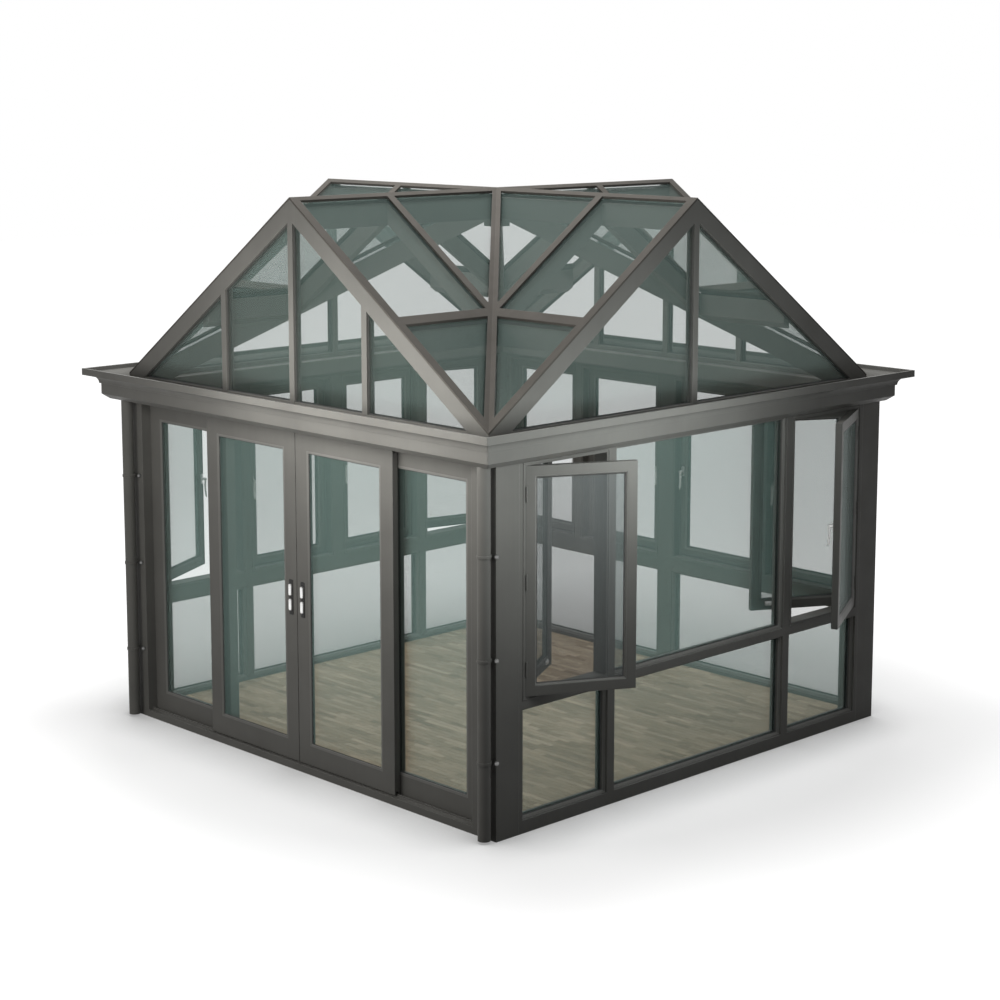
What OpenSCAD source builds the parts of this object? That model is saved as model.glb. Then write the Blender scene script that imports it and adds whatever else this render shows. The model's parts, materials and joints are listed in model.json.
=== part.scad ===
// Square glass conservatory with a cross-gabled glass roof, a four-panel
// sliding door on the front and framed windows on the other three walls.
// The origin is on the ground, under the crossing of the ridges. The door
// wall faces -Y. All sizes are in millimetres.

/* [Walls] */
// Width of the building over its side walls
wall_w = 3600; // [3400:10:4200]
// Depth of the building from the door wall to the back wall
wall_d = 3540; // [3400:10:4200]
// Height of the walls, up to the eaves beam
wall_h = 2200; // [2050:10:2500]
// Thickness of the window frames
frame_t = 100; // [90:2:130]
// Width of a corner post, seen from the door side
post_w = 150; // [120:5:180]
// Width of a corner post, seen from the window sides
post_d = 180; // [140:5:220]

/* [Window walls] */
// Face width of the upright bar beside each corner post
jamb_w = 30; // [20:1:60]
// Face width of the mullions beside the narrow end bays
mullion_w = 60; // [50:1:90]
// Face width of the mullion between the middle sashes of the left wall
left_mid_w = 100; // [50:1:150]
// Face width of the middle post of the back wall
back_mid_w = 136; // [50:1:180]
// Height of the bottom rail
base_rail_h = 78; // [60:1:120]
// Height of the top edge of the lower panes
low_glass_top = 736; // [500:5:1000]
// Height of the middle rail
transom_h = 52; // [40:1:90]
// How much higher the middle rail is in the back and left walls
sill_more = 42; // [0:1:60]
// Height of the top rail
head_h = 40; // [30:1:80]
// Clear width of each narrow side bay
side_bay = 706; // [500:5:800]
// Thickness of a sealed glass unit
glass_t = 24; // [16:1:30]
// Depth from the outer face of a wall to its glass
glass_set = 42; // [30:1:50]
// Width of the glazing beads
bead_w = 14; // [8:1:20]

/* [Opening windows] */
// Width of the frame's rim round an opening sash
rim_w = 20; // [8:1:34]
// Face width of a sash bar
sash_w = 58; // [50:1:80]
// Thickness of a sash
sash_t = 42; // [34:1:44]
// Gap between a sash and its frame
sash_fit = 0.3; // [0.2:0.1:1]
// How far the outer sashes stand open
open_out = 28; // [5:1:60]
// How far the inner sashes stand open
open_in = 29; // [5:1:60]
// How far the rear sash of the left wall stands open
open_rear = 14; // [0:1:60]
// Thickness of the insect mesh
mesh_t = 2; // [1:0.5:4]

/* [Door wall] */
// Depth of the door frame
door_frame_t = 140; // [130:2:180]
// Face width of the door frame beside the posts
door_jamb_w = 50; // [40:1:90]
// Height of the sill under the doors
sill_h = 46; // [35:1:70]
// Height of the door head
door_head_h = 46; // [35:1:70]
// How much wider a sliding leaf is than a fixed one
leaf_more = 67; // [0:1:200]
// Thickness of a sliding leaf
leaf_t = 40; // [34:1:44]
// Thickness of a fixed leaf
fixed_t = 66; // [40:1:70]
// Face width of a door stile
stile_w = 108; // [80:1:130]
// Height of the bottom rail of a door leaf
leaf_foot_h = 125; // [90:1:160]
// Depth from the face of the frame to the sliding leaves
leaf_set = 22; // [12:1:30]
// Depth from the face of a leaf to its glass
leaf_glass_set = 8; // [6:1:9]
// Gap between the two sliding leaves
meeting_gap = 6; // [5:1:10]
// Running gap above and below a sliding leaf
leaf_gap = 6; // [5:1:10]
// Gap between the sliding leaves and the fixed ones
track_gap = 8; // [6:1:12]
// How far a fixed leaf reaches behind a sliding one
leaf_lap = 140; // [30:5:180]
// Height of the middle of the door pulls
pull_z = 1100; // [900:10:1200]
// Length of a door pull
pull_l = 190; // [120:5:300]

/* [Eaves] */
// How far the cornice stands out from the window walls
eaves_out = 160; // [140:5:240]
// Extra overhang in front of the doors, for the downpipes
pipe_room = 60; // [40:5:100]
// How far the cornice lip stands out from its fascia
lip_out = 90; // [60:5:120]
// Height of the top of the cornice lip over the walls
lip_up = 172; // [150:2:220]
// Height of the face of the lip
lip_h = 44; // [30:1:60]
// Height of the top of the plain fascia over the walls
fascia_up = 74; // [50:2:90]
// Height of the plain fascia
fascia_h = 72; // [50:2:90]
// How far the soffit is below the top of the walls
soffit_down = 30; // [20:2:60]
// Width of the slope between fascia and soffit
soffit_slope = 40; // [10:2:60]
// Wall thickness of the gutter inside the cornice
gutter_t = 16; // [8:1:24]
// Height of the gutter floor over the walls
gutter_up = 100; // [90:2:120]
// Width of the eaves beam
eaves_beam_w = 150; // [120:5:200]

/* [Roof] */
// Distance from the cornice lip to the gables
gable_in = 225; // [180:5:300]
// Rise of the roof from the corners of its eaves to the ridges
roof_rise = 1233; // [900:10:1500]
// Height of the roof at the corners of its eaves, over the walls
eaves_up = 145; // [140:5:200]
// Thickness of a gable frame
gable_t = 60; // [45:1:80]
// Depth of the sloping bars of a gable
verge_d = 100; // [80:1:130]
// Height of the bottom bar of a gable
gable_rail_h = 34; // [24:1:100]
// Face width of a gable mullion
gable_bar_w = 46; // [36:1:70]
// Distance of the outer gable mullions from the middle one
gable_bar_x = 680; // [500:10:800]
// Width of the roof beams
beam_w = 54; // [40:1:70]
// Depth of the purlins and jack rafters
beam_d = 110; // [80:1:140]
// How far the ridge and valley beams hang below the lighter ones
beam_below = 6; // [2:1:40]
// Level distance of the purlins beside the front ridge from that ridge
purlin_x = 950; // [700:10:1100]
// Width of the cover strips over the roof beams
cap_w = 56; // [44:1:70]
// Thickness of the cover strips
cap_t = 12; // [6:1:18]

/* [Downpipes] */
// Diameter of a downpipe
pipe_d = 76; // [60:1:90]
// Distance from a downpipe's middle to the wall
pipe_off = 52; // [45:1:60]
// Distance from the left downpipe's middle to the corner
pipe_in_left = 110; // [44:1:110]
// Distance from the right downpipe's middle to the corner
pipe_in_right = 44; // [44:1:110]
// Height of the lowest bracket
bracket_z = 470; // [300:10:600]
// Distance between brackets
bracket_pitch = 595; // [400:5:700]
// Height of a bracket
bracket_h = 16; // [10:1:30]
// Wall thickness of a downpipe
pipe_wall = 4; // [2:1:8]
// Height of the open end of a downpipe
pipe_foot = 15; // [5:5:150]

/* [Floor] */
// Thickness of the floor
floor_h = 50; // [30:1:70]

/* [Hidden] */
$fn = 48;
eps = 1;
// Half sizes of the walls and of the square eaves
wall_hx = wall_w / 2;
roof_hx = wall_hx + eaves_out;
roof_hy = (wall_d + 2 * eaves_out + pipe_room) / 2;
back_y = roof_hy - eaves_out;
front_y = back_y - wall_d;
// Lengths between the posts
side_len = wall_d - 2 * post_d;
back_len = wall_w - 2 * post_w;
// The upper row of windows
up_z0 = low_glass_top + transom_h;
up_z1 = wall_h - head_h;
// Heights of the sashes, on the right wall and on the other two
sash_z1 = up_z1 - rim_w;
sash_row = [up_z0 + rim_w, sash_z1];
rear_row = [up_z0 + sill_more + rim_w, sash_z1];
end_sash_w = side_bay - 2 * rim_w;
// The doors
leaf_z0 = sill_h + leaf_gap;
leaf_z1 = wall_h - door_head_h - leaf_gap;
door_x = back_len / 2 - door_jamb_w;
leaf_w = (door_x - meeting_gap / 2 + leaf_lap + leaf_more) / 2;
fixed_w = leaf_w - leaf_more;
fixed_x0 = door_x - fixed_w;
fixed_y = leaf_set + leaf_t + track_gap;
lip_step = 10;
track_w = 6;
track_groove = 20;
track_rise = 12;
roller_r = 14;
roller_w = 10;
roller_gap = 0.3;
roller_room = 3;
axle_r = 4;
// Levers of the windows and pulls of the doors
plate_w = 28;
plate_h = 70;
plate_t = 8;
lever_w = 16;
lever_t = 12;
lever_l = 130;
lever_off = 40;
pull_t = 12;
// Heights at the eaves
lip_z = wall_h + lip_up;
fascia_top = wall_h + fascia_up;
fascia_foot = fascia_top - fascia_h;
soffit_z = wall_h - soffit_down;
gutter_z = wall_h + gutter_up;
// The roof: its depths are turned into heights by the steeper pitch
gable_x = roof_hx - gable_in;
gable_y = roof_hy - gable_in;
ridge_z = wall_h + eaves_up + roof_rise;
pitch = atan(roof_rise / min(gable_x, gable_y));
cap_rise = cap_t / cos(pitch);
roof_z = ridge_z - cap_rise;
glass_drop = glass_t / cos(pitch);
beam_drop = beam_d / cos(pitch);
verge_drop = verge_d / cos(pitch);
valley_run = norm([gable_x, gable_y]);
valley_turn = atan(gable_y / gable_x);
valley_pitch = atan(roof_rise / valley_run);
ridge_d = beam_drop + beam_w / 2 * tan(pitch) + beam_below;
valley_d = beam_drop * cos(valley_pitch) + beam_below;
hub_w = 120;
hub_below = 50;
hub_h = ridge_d + hub_below;
pane_gap = 10;
strap_t = 4;
strap_w = 24;
long = 2 * max(roof_hx, roof_hy);

metal = "#57534f";
dark_metal = "#454341";
clear = "#a9bdb3";

// Puts a wall drawn from its outer face inwards (+Y) onto one side
module on_front(half) translate([-half, front_y, 0]) children();
module on_right() translate([wall_hx, front_y + post_d, 0]) rotate([0, 0, 90]) children();
module on_back() translate([back_len / 2, back_y, 0]) rotate([0, 0, 180]) children();
module on_left() translate([-wall_hx, back_y - post_d, 0]) rotate([0, 0, -90]) children();

// The clear bays of a window wall: narrow ones at both ends and a wide one
function bays(len) = [
    [jamb_w, jamb_w + side_bay],
    [jamb_w + side_bay + mullion_w, len - jamb_w - side_bay - mullion_w],
    [len - jamb_w - side_bay, len - jamb_w]];
// The two halves of a bay with a bar between them
function halves(bay, bar) = [[bay[0], (bay[0] + bay[1] - bar) / 2], [(bay[0] + bay[1] + bar) / 2, bay[1]]];
// The four upper bays of the left and back walls
function four_bays(len, bar) = [bays(len)[0], each halves(bays(len)[1], bar), bays(len)[2]];
// The part of a bay that an opening sash fills
function sash_bay(bay) = [bay[0] + rim_w, bay[1] - rim_w];
low_row = [base_rail_h, low_glass_top];
up_row = [up_z0, up_z1];

module box(x0, x1, y0, y1, z0, z1) translate([x0, y0, z0]) cube([x1 - x0, y1 - y0, z1 - z0]);

// A bead runs round the outer side of a pane
module bead(bay, row) difference() {
    box(bay[0] - eps, bay[1] + eps, glass_set - bead_w, glass_set, row[0] - eps, row[1] + eps);
    box(bay[0] + bead_w, bay[1] - bead_w, 0, glass_set + eps, row[0] + bead_w, row[1] - bead_w);
}

module pane(bay, row) box(bay[0], bay[1], glass_set, glass_set + glass_t, row[0], row[1]);

// Frame of a window wall from its lower bays, and the bay and row of each
// hole above them
module window_wall(len, low, up) {
    difference() {
        box(0, len, 0, frame_t, 0, wall_h);
        for (bay = low) box(bay[0], bay[1], -eps, frame_t + eps, low_row[0], low_row[1]);
        for (hole = up) box(hole[0][0], hole[0][1], -eps, frame_t + eps, hole[1][0], hole[1][1]);
    }
    for (bay = low) bead(bay, low_row);
}

// A sash for a bay w wide is drawn closed, from its hinge along +X, with its
// outer face on Y = 0 and its foot at z0
module sash_ring(w, z0) difference() {
    box(sash_fit, w - sash_fit, 0, sash_t, z0 + sash_fit, sash_z1 - sash_fit);
    box(sash_w, w - sash_w, -eps, sash_t + eps, z0 + sash_w, sash_z1 - sash_w);
}
module sash_pane(w, z0, thick) box(sash_w, w - sash_w, (sash_t - thick) / 2,
    (sash_t + thick) / 2, z0 + sash_w, sash_z1 - sash_w);

// Hinged at the low end of a bay, and swung out of the wall
module swing_low(bay, angle) translate([bay[0], 0, 0]) rotate([0, 0, -angle]) children();
// Hinged at the high end of a bay, and swung out of the wall
module swing_high(bay, angle) translate([bay[1], 0, 0]) rotate([0, 0, angle]) mirror([1, 0, 0]) children();
// Hinged at the low end on the inner face, and swung into the room
module swing_in_low(bay, angle) translate([bay[0], frame_t, 0]) rotate([0, 0, angle])
    translate([0, -sash_t, 0]) children();
// Hinged at the high end on the inner face, and swung into the room
module swing_in_high(bay, angle) translate([bay[1], frame_t, 0]) rotate([0, 0, -angle])
    mirror([1, 0, 0]) translate([0, -sash_t, 0]) children();

module posts() for (sx = [-1, 1], y = [front_y, back_y - post_d])
    translate([sx * (wall_hx - post_w / 2) - post_w / 2, y, 0]) cube([post_w, post_d, wall_h]);
module corner_posts() color(metal) posts();

module floor_deck() color("#7d7264") difference() {
    box(-wall_hx + frame_t, wall_hx - frame_t, front_y + door_frame_t, back_y - frame_t, 0, floor_h);
    posts();
}

right_ends = [sash_bay(bays(side_len)[0]), sash_bay(bays(side_len)[2])];
module right_wall_frame() color(metal) on_right() {
    window_wall(side_len, bays(side_len),
        [[right_ends[0], sash_row], [bays(side_len)[1], up_row], [right_ends[1], sash_row]]);
    bead(bays(side_len)[1], up_row);
}
module right_wall_glass() color(clear, 0.5) on_right() {
    for (bay = bays(side_len)) pane(bay, low_row);
    pane(bays(side_len)[1], up_row);
}
module left_wall_frame() color(metal) on_left()
    window_wall(side_len, bays(side_len), [for (bay = left_bays) [bay, rear_row]]);
module left_wall_glass() color(clear, 0.5) on_left() for (bay = bays(side_len)) pane(bay, low_row);
module back_wall_frame() color(metal) on_back()
    window_wall(back_len, back_low_bays, [for (bay = back_bays) [bay, rear_row]]);
module back_wall_glass() color(clear, 0.5) on_back() for (bay = back_low_bays) pane(bay, low_row);

// Sashes of the right wall: an insect screen, a casement and two inner ones
module screen_sash() color(metal) on_right() swing_low(right_ends[0], open_out)
    sash_ring(end_sash_w, sash_row[0]);
module screen_mesh() color("#6f7474", 0.7) on_right() swing_low(right_ends[0], open_out)
    sash_pane(end_sash_w, sash_row[0], mesh_t);
module right_casement() color(metal) on_right() swing_high(right_ends[1], open_out)
    sash_ring(end_sash_w, sash_row[0]);
module right_casement_glass() color(clear, 0.5) on_right() swing_high(right_ends[1], open_out)
    sash_pane(end_sash_w, sash_row[0], glass_t);
module inner_places() on_right() {
    swing_in_low(right_ends[0], open_in) children();
    swing_in_high(right_ends[1], open_in) children();
}
module inner_casement() color(metal) inner_places() sash_ring(end_sash_w, sash_row[0]);
module inner_casement_glass() color(clear, 0.5) inner_places() sash_pane(end_sash_w, sash_row[0], glass_t);

// Sashes of the left and back walls: the bay, the angle, and 1 where the
// hinge is at the high end of the bay
left_bays = [for (bay = four_bays(side_len, left_mid_w)) sash_bay(bay)];
back_bays = [for (bay = four_bays(back_len, back_mid_w)) sash_bay(bay)];
back_low_bays = halves([jamb_w, back_len - jamb_w], back_mid_w);
left_leaves = [[left_bays[0], open_rear, 0], [left_bays[1], 0, 0], [left_bays[2], 0, 0],
    [left_bays[3], open_out, 1]];
back_leaves = [[back_bays[0], 0, 0], [back_bays[1], 0, 0], [back_bays[2], 0, 1], [back_bays[3], 0, 1]];
function leaf_width(leaf) = leaf[0][1] - leaf[0][0];
module hung(leaf) if (leaf[2] == 0) swing_low(leaf[0], leaf[1]) children();
    else swing_high(leaf[0], leaf[1]) children();
module left_sashes() color(metal) on_left() for (leaf = left_leaves)
    hung(leaf) sash_ring(leaf_width(leaf), rear_row[0]);
module left_sash_glass() color(clear, 0.5) on_left() for (leaf = left_leaves)
    hung(leaf) sash_pane(leaf_width(leaf), rear_row[0], glass_t);
module back_sashes() color(metal) on_back() for (leaf = back_leaves)
    hung(leaf) sash_ring(leaf_width(leaf), rear_row[0]);
module back_sash_glass() color(clear, 0.5) on_back() for (leaf = back_leaves)
    hung(leaf) sash_pane(leaf_width(leaf), rear_row[0], glass_t);

// A lever on the inner side of a sash w wide, by its free edge
module sash_lever(w) translate([w - sash_w / 2, sash_t, (up_z0 + up_z1) / 2]) {
    box(-plate_w / 2, plate_w / 2, 0, plate_t, -plate_h / 2, plate_h / 2);
    box(-lever_w / 2, lever_w / 2, plate_t, lever_off, -lever_w / 2, lever_w / 2);
    box(-lever_w / 2, lever_w / 2, lever_off - lever_t, lever_off, -lever_l, -lever_w / 2);
}
module window_handles() color("#d8d8d4") {
    on_right() {
        swing_low(right_ends[0], open_out) sash_lever(end_sash_w);
        swing_high(right_ends[1], open_out) sash_lever(end_sash_w);
    }
    on_left() for (leaf = left_leaves) hung(leaf) sash_lever(leaf_width(leaf));
    on_back() for (leaf = back_leaves) hung(leaf) sash_lever(leaf_width(leaf));
}

// Door wall: the frame with a sill, a head and two tracks
module front_door_frame() color(metal) on_front(back_len / 2) {
    difference() {
        box(0, back_len, 0, door_frame_t, 0, wall_h);
        box(door_jamb_w, back_len - door_jamb_w, -eps, door_frame_t + eps,
            sill_h, wall_h - door_head_h);
    }
    track_y = leaf_set + leaf_t / 2;
    box(door_jamb_w, back_len - door_jamb_w, track_y - track_w / 2, track_y + track_w / 2,
        sill_h - eps, sill_h + track_rise);
    box(door_jamb_w, back_len - door_jamb_w, track_y - track_w / 2, track_y + track_w / 2,
        wall_h - door_head_h - track_rise, wall_h - door_head_h + eps);
}

// A leaf w wide and t thick is drawn from X = 0, with its outer face on Y = 0
module leaf_ring(w, t, z0, z1) difference() {
    box(0, w, 0, t, z0, z1);
    box(stile_w, w - stile_w, -eps, t + eps, z0 + leaf_foot_h, z1 - stile_w);
}
module leaf_bead(w, z0, z1) difference() {
    box(stile_w - eps, w - stile_w + eps, leaf_glass_set / 2, leaf_glass_set,
        z0 + leaf_foot_h - eps, z1 - stile_w + eps);
    box(stile_w + bead_w, w - stile_w - bead_w, 0, leaf_glass_set + eps,
        z0 + leaf_foot_h + bead_w, z1 - stile_w - bead_w);
}
module leaf_pane(w, z0, z1)
    box(stile_w, w - stile_w, leaf_glass_set, leaf_glass_set + glass_t, z0 + leaf_foot_h, z1 - stile_w);

module leaf_grooves(w) for (z = [leaf_z0 - eps, leaf_z1 - track_groove])
    box(-eps, w + eps, (leaf_t - track_groove) / 2, (leaf_t + track_groove) / 2,
        z, z + track_groove + eps);

// Places of the two rollers in the bottom rail, at the middle of the leaf
module roller_places() for (x = [stile_w, leaf_w - stile_w])
    translate([x, leaf_t / 2, sill_h + track_rise + roller_gap + roller_r]) children();

module sliding_leaf() color(metal) {
    difference() {
        leaf_ring(leaf_w, leaf_t, leaf_z0, leaf_z1);
        leaf_grooves(leaf_w);
        roller_places() box(-roller_r - roller_room, roller_r + roller_room,
            -track_groove / 2, track_groove / 2, -roller_r, roller_r + roller_room);
    }
    leaf_bead(leaf_w, leaf_z0, leaf_z1);
}
module sliding_right_place() translate([meeting_gap / 2, front_y + leaf_set, 0]) children();

// Pull handle on the meeting stile and two rollers on the track
module leaf_fittings() {
    color("#d8d8d4") for (s = [-1, 1])
        translate([stile_w / 2, 0, pull_z + s * pull_l / 4])
            box(-plate_w / 2, plate_w / 2, -pull_t, 0, -pull_l / 5, pull_l / 5);
    color("#3a3a3a") roller_places() rotate([90, 0, 0]) {
        cylinder(r = roller_r, h = roller_w, center = true);
        cylinder(r = axle_r, h = track_groove, center = true);
    }
}

module sliding_door_right() sliding_right_place() sliding_leaf();
module sliding_door_left() mirror([1, 0, 0]) sliding_door_right();
module sliding_door_right_glass() color(clear, 0.5) sliding_right_place()
    leaf_pane(leaf_w, leaf_z0, leaf_z1);
module sliding_door_left_glass() mirror([1, 0, 0]) sliding_door_right_glass();
module sliding_door_right_fittings() sliding_right_place() leaf_fittings();
module sliding_door_left_fittings() mirror([1, 0, 0]) sliding_door_right_fittings();

module fixed_place() for (s = [0, 1]) mirror([s, 0, 0])
    translate([fixed_x0, front_y + fixed_y, 0]) children();
module fixed_door_frames() color(metal) fixed_place() {
    leaf_ring(fixed_w, fixed_t, sill_h, wall_h - door_head_h);
    leaf_bead(fixed_w, sill_h, wall_h - door_head_h);
}
module fixed_door_glass() color(clear, 0.5) fixed_place()
    leaf_pane(fixed_w, sill_h, wall_h - door_head_h);

// Eaves: each side is drawn as a section along its wall, with the
// distance from the middle of the roof as X, then mitred at 45 degrees
module mitred(half, other) intersection() {
    rotate([90, 0, 90]) translate([0, 0, -long / 2]) linear_extrude(long) mirror([1, 0, 0]) children();
    mitre_wedge(half, other);
}
// The wedge of plan that belongs to the side facing -Y
module mitre_wedge(half, other) translate([0, 0, -eps]) linear_extrude(2 * ridge_z)
    polygon([[0, other - half], [-2 * other, -half - other], [2 * other, -half - other]]);

module side_copy(k) rotate([0, 0, 90 * k]) children();
function half_of(k) = k % 2 == 0 ? roof_hy : roof_hx;
function other_of(k) = k % 2 == 0 ? roof_hx : roof_hy;

module beam_section(k) {
    out = half_of(k) - gable_in;
    translate([out - eaves_beam_w, wall_h]) square([eaves_beam_w, gutter_z - wall_h]);
}
module eaves_beam(k) color(metal) side_copy(k) mitred(half_of(k), other_of(k)) beam_section(k);
module eaves_beams_front_back() { eaves_beam(0); eaves_beam(2); }
module eaves_beams_sides() { eaves_beam(1); eaves_beam(3); }

// The cornice: soffit, plain fascia, cove, lip and the gutter behind it
module cornice_section(k) {
    lip = half_of(k);
    out = lip - gable_in;
    fascia = lip - lip_out;
    cove_r = lip_z - lip_h - fascia_top;
    cove_x = fascia + lip_step + cove_r;
    difference() {
        union() {
            polygon([[out, soffit_z], [out, gutter_z], [fascia, gutter_z], [fascia, fascia_foot],
                [fascia - soffit_slope, soffit_z]]);
            intersection() {
                translate([cove_x, fascia_top]) circle(r = cove_r + gutter_t);
                translate([fascia - lip_out, fascia_top]) square([cove_x - fascia + lip_out, lip_out]);
            }
            translate([cove_x, lip_z - lip_h]) square([lip - cove_x, gutter_t]);
            translate([lip - gutter_t, lip_z - lip_h]) square([gutter_t, lip_h]);
        }
        translate([cove_x, fascia_top]) circle(r = cove_r);
        translate([fascia + lip_step, fascia_top - eps]) square([lip_out, eps]);
    }
}
module walls_block() box(-wall_hx, wall_hx, front_y, back_y, -eps, wall_h);
module cornice(k) color(metal) difference() {
    side_copy(k) mitred(half_of(k), other_of(k)) cornice_section(k);
    walls_block();
}
module cornice_front_back() { cornice(0); cornice(2); }
module cornice_sides() { cornice(1); cornice(3); }

// The outline of the slope pair behind gable k, lowered by some height
module roof_section(k, drop) {
    run = 2 * gable_of(k + 1);
    top = roof_z - drop;
    polygon([[-run, top - 2 * roof_rise], [0, top], [run, top - 2 * roof_rise]]);
}
// Roof: everything under both slope pairs
module roof_body(drop) for (k = [0, 1]) side_copy(k)
    translate([0, long, 0]) rotate([90, 0, 0]) linear_extrude(2 * long) roof_section(k, drop);

// A layer of the roof between two heights, cut to the plan of the children
module roof_layer(top, foot) intersection() {
    difference() {
        roof_body(top);
        roof_body(foot);
    }
    translate([0, 0, gutter_z]) linear_extrude(ridge_z) children();
}

// One slope in plan, held back from its ridge on X = 0 and its valley, and
// kept clear of the gable towards -Y
module slope_plan(k, back, end) intersection() {
    gx = gable_of(k + 1);
    gy = gable_of(k);
    polygon([[back, -back * (valley_run + gy) / gx], [back, -2 * gy],
        [2 * gx - back * valley_run / gy, -2 * gy]]);
    translate([0, -gy + end]) square([gx - end, gy]);
}
module plan_copy(k, s) rotate(90 * k) mirror([s, 0]) children();
// Strips along a purlin and along the jack rafter that meets it
function purlin_of(k) = purlin_x * gable_of(k) / gable_x;
module purlin_strip(k, w) translate([purlin_of(k + 1) - w / 2, -long]) square([w, long]);
module jack_strip(k, w) translate([0, -purlin_of(k) - w / 2]) square([purlin_of(k + 1), w]);

function gable_of(k) = k % 2 == 0 ? gable_y : gable_x;

// Gable frame of the side facing -Y: a triangle with mullions
module gable_tri(k, drop, foot) intersection() {
    roof_section(k, drop);
    translate([-long, foot]) square([2 * long, long]);
}
function gable_bars(k) = k % 2 == 0 ? [-gable_bar_x, 0, gable_bar_x] : [0];
module gable_lights(k) difference() {
    gable_tri(k, verge_drop, gutter_z + gable_rail_h);
    for (x = gable_bars(k)) translate([x - gable_bar_w / 2, 0]) square([gable_bar_w, 2 * ridge_z]);
}
module gable_face(k) difference() {
    gable_tri(k, 0, gutter_z);
    gable_lights(k);
}
module gable_frame(k) color(metal) side_copy(k) intersection() {
    translate([0, -gable_of(k) + gable_t, 0]) rotate([90, 0, 0]) linear_extrude(gable_t) gable_face(k);
    mitre_wedge(half_of(k), other_of(k));
}
module gable_front() gable_frame(0);
module gable_right() gable_frame(1);
module gable_back() gable_frame(2);
module gable_left() gable_frame(3);

module gable_glass() color(clear, 0.5) for (k = [0:3]) side_copy(k)
    translate([0, -gable_of(k) + (gable_t + glass_t) / 2, 0]) rotate([90, 0, 0]) linear_extrude(glass_t)
        gable_lights(k);

// Ridge beams run between the inner faces of the gables
module ridge_raw() for (k = [0, 1]) side_copy(k)
    box(-beam_w / 2, beam_w / 2, -gable_of(k) + gable_t, gable_of(k) - gable_t,
        roof_z - glass_drop - ridge_d, roof_z);
// A hub hangs where the ridges cross, and the valley beams end on it
module hub_raw() box(-hub_w / 2, hub_w / 2, -hub_w / 2, hub_w / 2, roof_z - glass_drop - hub_h, roof_z);
module ridge_beams() color(metal) intersection() {
    union() { ridge_raw(); hub_raw(); }
    roof_body(glass_drop);
}

// Valley beams run down the diagonals to the corners of the eaves
module valley_raw() for (turn = [valley_turn, 180 - valley_turn, 180 + valley_turn, -valley_turn])
    rotate([0, 0, turn]) translate([0, 0, roof_z - glass_drop]) rotate([0, valley_pitch, 0])
        box(0, long, -beam_w / 2, beam_w / 2, -valley_d, valley_d);
module valley_beams() color(metal) difference() {
    intersection() {
        valley_raw();
        roof_body(glass_drop);
        box(-gable_x + gable_t, gable_x - gable_t, -gable_y + gable_t, gable_y - gable_t, gutter_z, ridge_z);
    }
    ridge_raw();
    hub_raw();
}

// Purlins and jack rafters lie between them, right under the glass
module light_beams(k) intersection() {
    slope_plan(k, 0, gable_t);
    children();
}
module purlin_raw() roof_layer(glass_drop, glass_drop + beam_drop)
    for (k = [0:3], s = [0, 1]) plan_copy(k, s) light_beams(k) purlin_strip(k, beam_w);
module purlins() color(metal) difference() { purlin_raw(); valley_raw(); }
module jack_raw() roof_layer(glass_drop, glass_drop + beam_drop)
    for (k = [0:3], s = [0, 1]) plan_copy(k, s) light_beams(k) jack_strip(k, beam_w);
module jack_rafters() color(metal) difference() { jack_raw(); ridge_raw(); valley_raw(); purlin_raw(); }

// Three panes fill each slope, held apart by a gap
module roof_glass() color(clear, 0.5) roof_layer(0, glass_drop)
    for (k = [0:3], s = [0, 1]) plan_copy(k, s) difference() {
        slope_plan(k, pane_gap / 2, gable_t);
        purlin_strip(k, pane_gap);
        jack_strip(k, pane_gap);
    }

// Cover strips over the joints of the glass and over the gables
module cap_plan(k) intersection() {
    slope_plan(k, 0, 0);
    union() {
        purlin_strip(k, cap_w);
        jack_strip(k, cap_w);
        translate([0, -long]) square([cap_w / 2, long]);
        translate([0, -gable_of(k)]) square([long, gable_t]);
        rotate(-atan(gable_of(k) / gable_of(k + 1))) translate([0, -cap_w / 2]) square([2 * long, cap_w]);
    }
}
module glazing_caps() color(dark_metal) roof_layer(-cap_rise, 0)
    for (k = [0:3], s = [0, 1]) plan_copy(k, s) cap_plan(k);

// Downpipes stand on the ground in front of the door wall
module pipe_places() for (x = [-wall_hx + pipe_in_left, wall_hx - pipe_in_right])
    translate([x, front_y - pipe_off, 0]) children();
module downpipes() color(metal) pipe_places() difference() {
    translate([0, 0, pipe_foot]) cylinder(d = pipe_d, h = soffit_z - pipe_foot);
    translate([0, 0, -eps]) cylinder(d = pipe_d - 2 * pipe_wall, h = wall_h);
}
module pipe_brackets() color("#b9b9b5") pipe_places() for (i = [0:2])
    translate([0, 0, bracket_z + i * bracket_pitch]) difference() {
        union() {
            cylinder(d = pipe_d + 2 * strap_t, h = bracket_h, center = true);
            box(-strap_w / 2, strap_w / 2, 0, pipe_off, -bracket_h / 2, bracket_h / 2);
        }
        cylinder(d = pipe_d, h = bracket_h + 2 * eps, center = true);
    }

floor_deck();
corner_posts();
front_door_frame();
fixed_door_frames();
fixed_door_glass();
sliding_door_left();
sliding_door_left_glass();
sliding_door_left_fittings();
sliding_door_right();
sliding_door_right_glass();
sliding_door_right_fittings();
right_wall_frame();
right_wall_glass();
screen_sash();
screen_mesh();
right_casement();
right_casement_glass();
inner_casement();
inner_casement_glass();
back_wall_frame();
back_wall_glass();
back_sashes();
back_sash_glass();
left_wall_frame();
left_wall_glass();
left_sashes();
left_sash_glass();
window_handles();
eaves_beams_front_back();
eaves_beams_sides();
cornice_front_back();
cornice_sides();
gable_front();
gable_back();
gable_left();
gable_right();
gable_glass();
ridge_beams();
valley_beams();
purlins();
jack_rafters();
roof_glass();
glazing_caps();
downpipes();
pipe_brackets();
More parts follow.
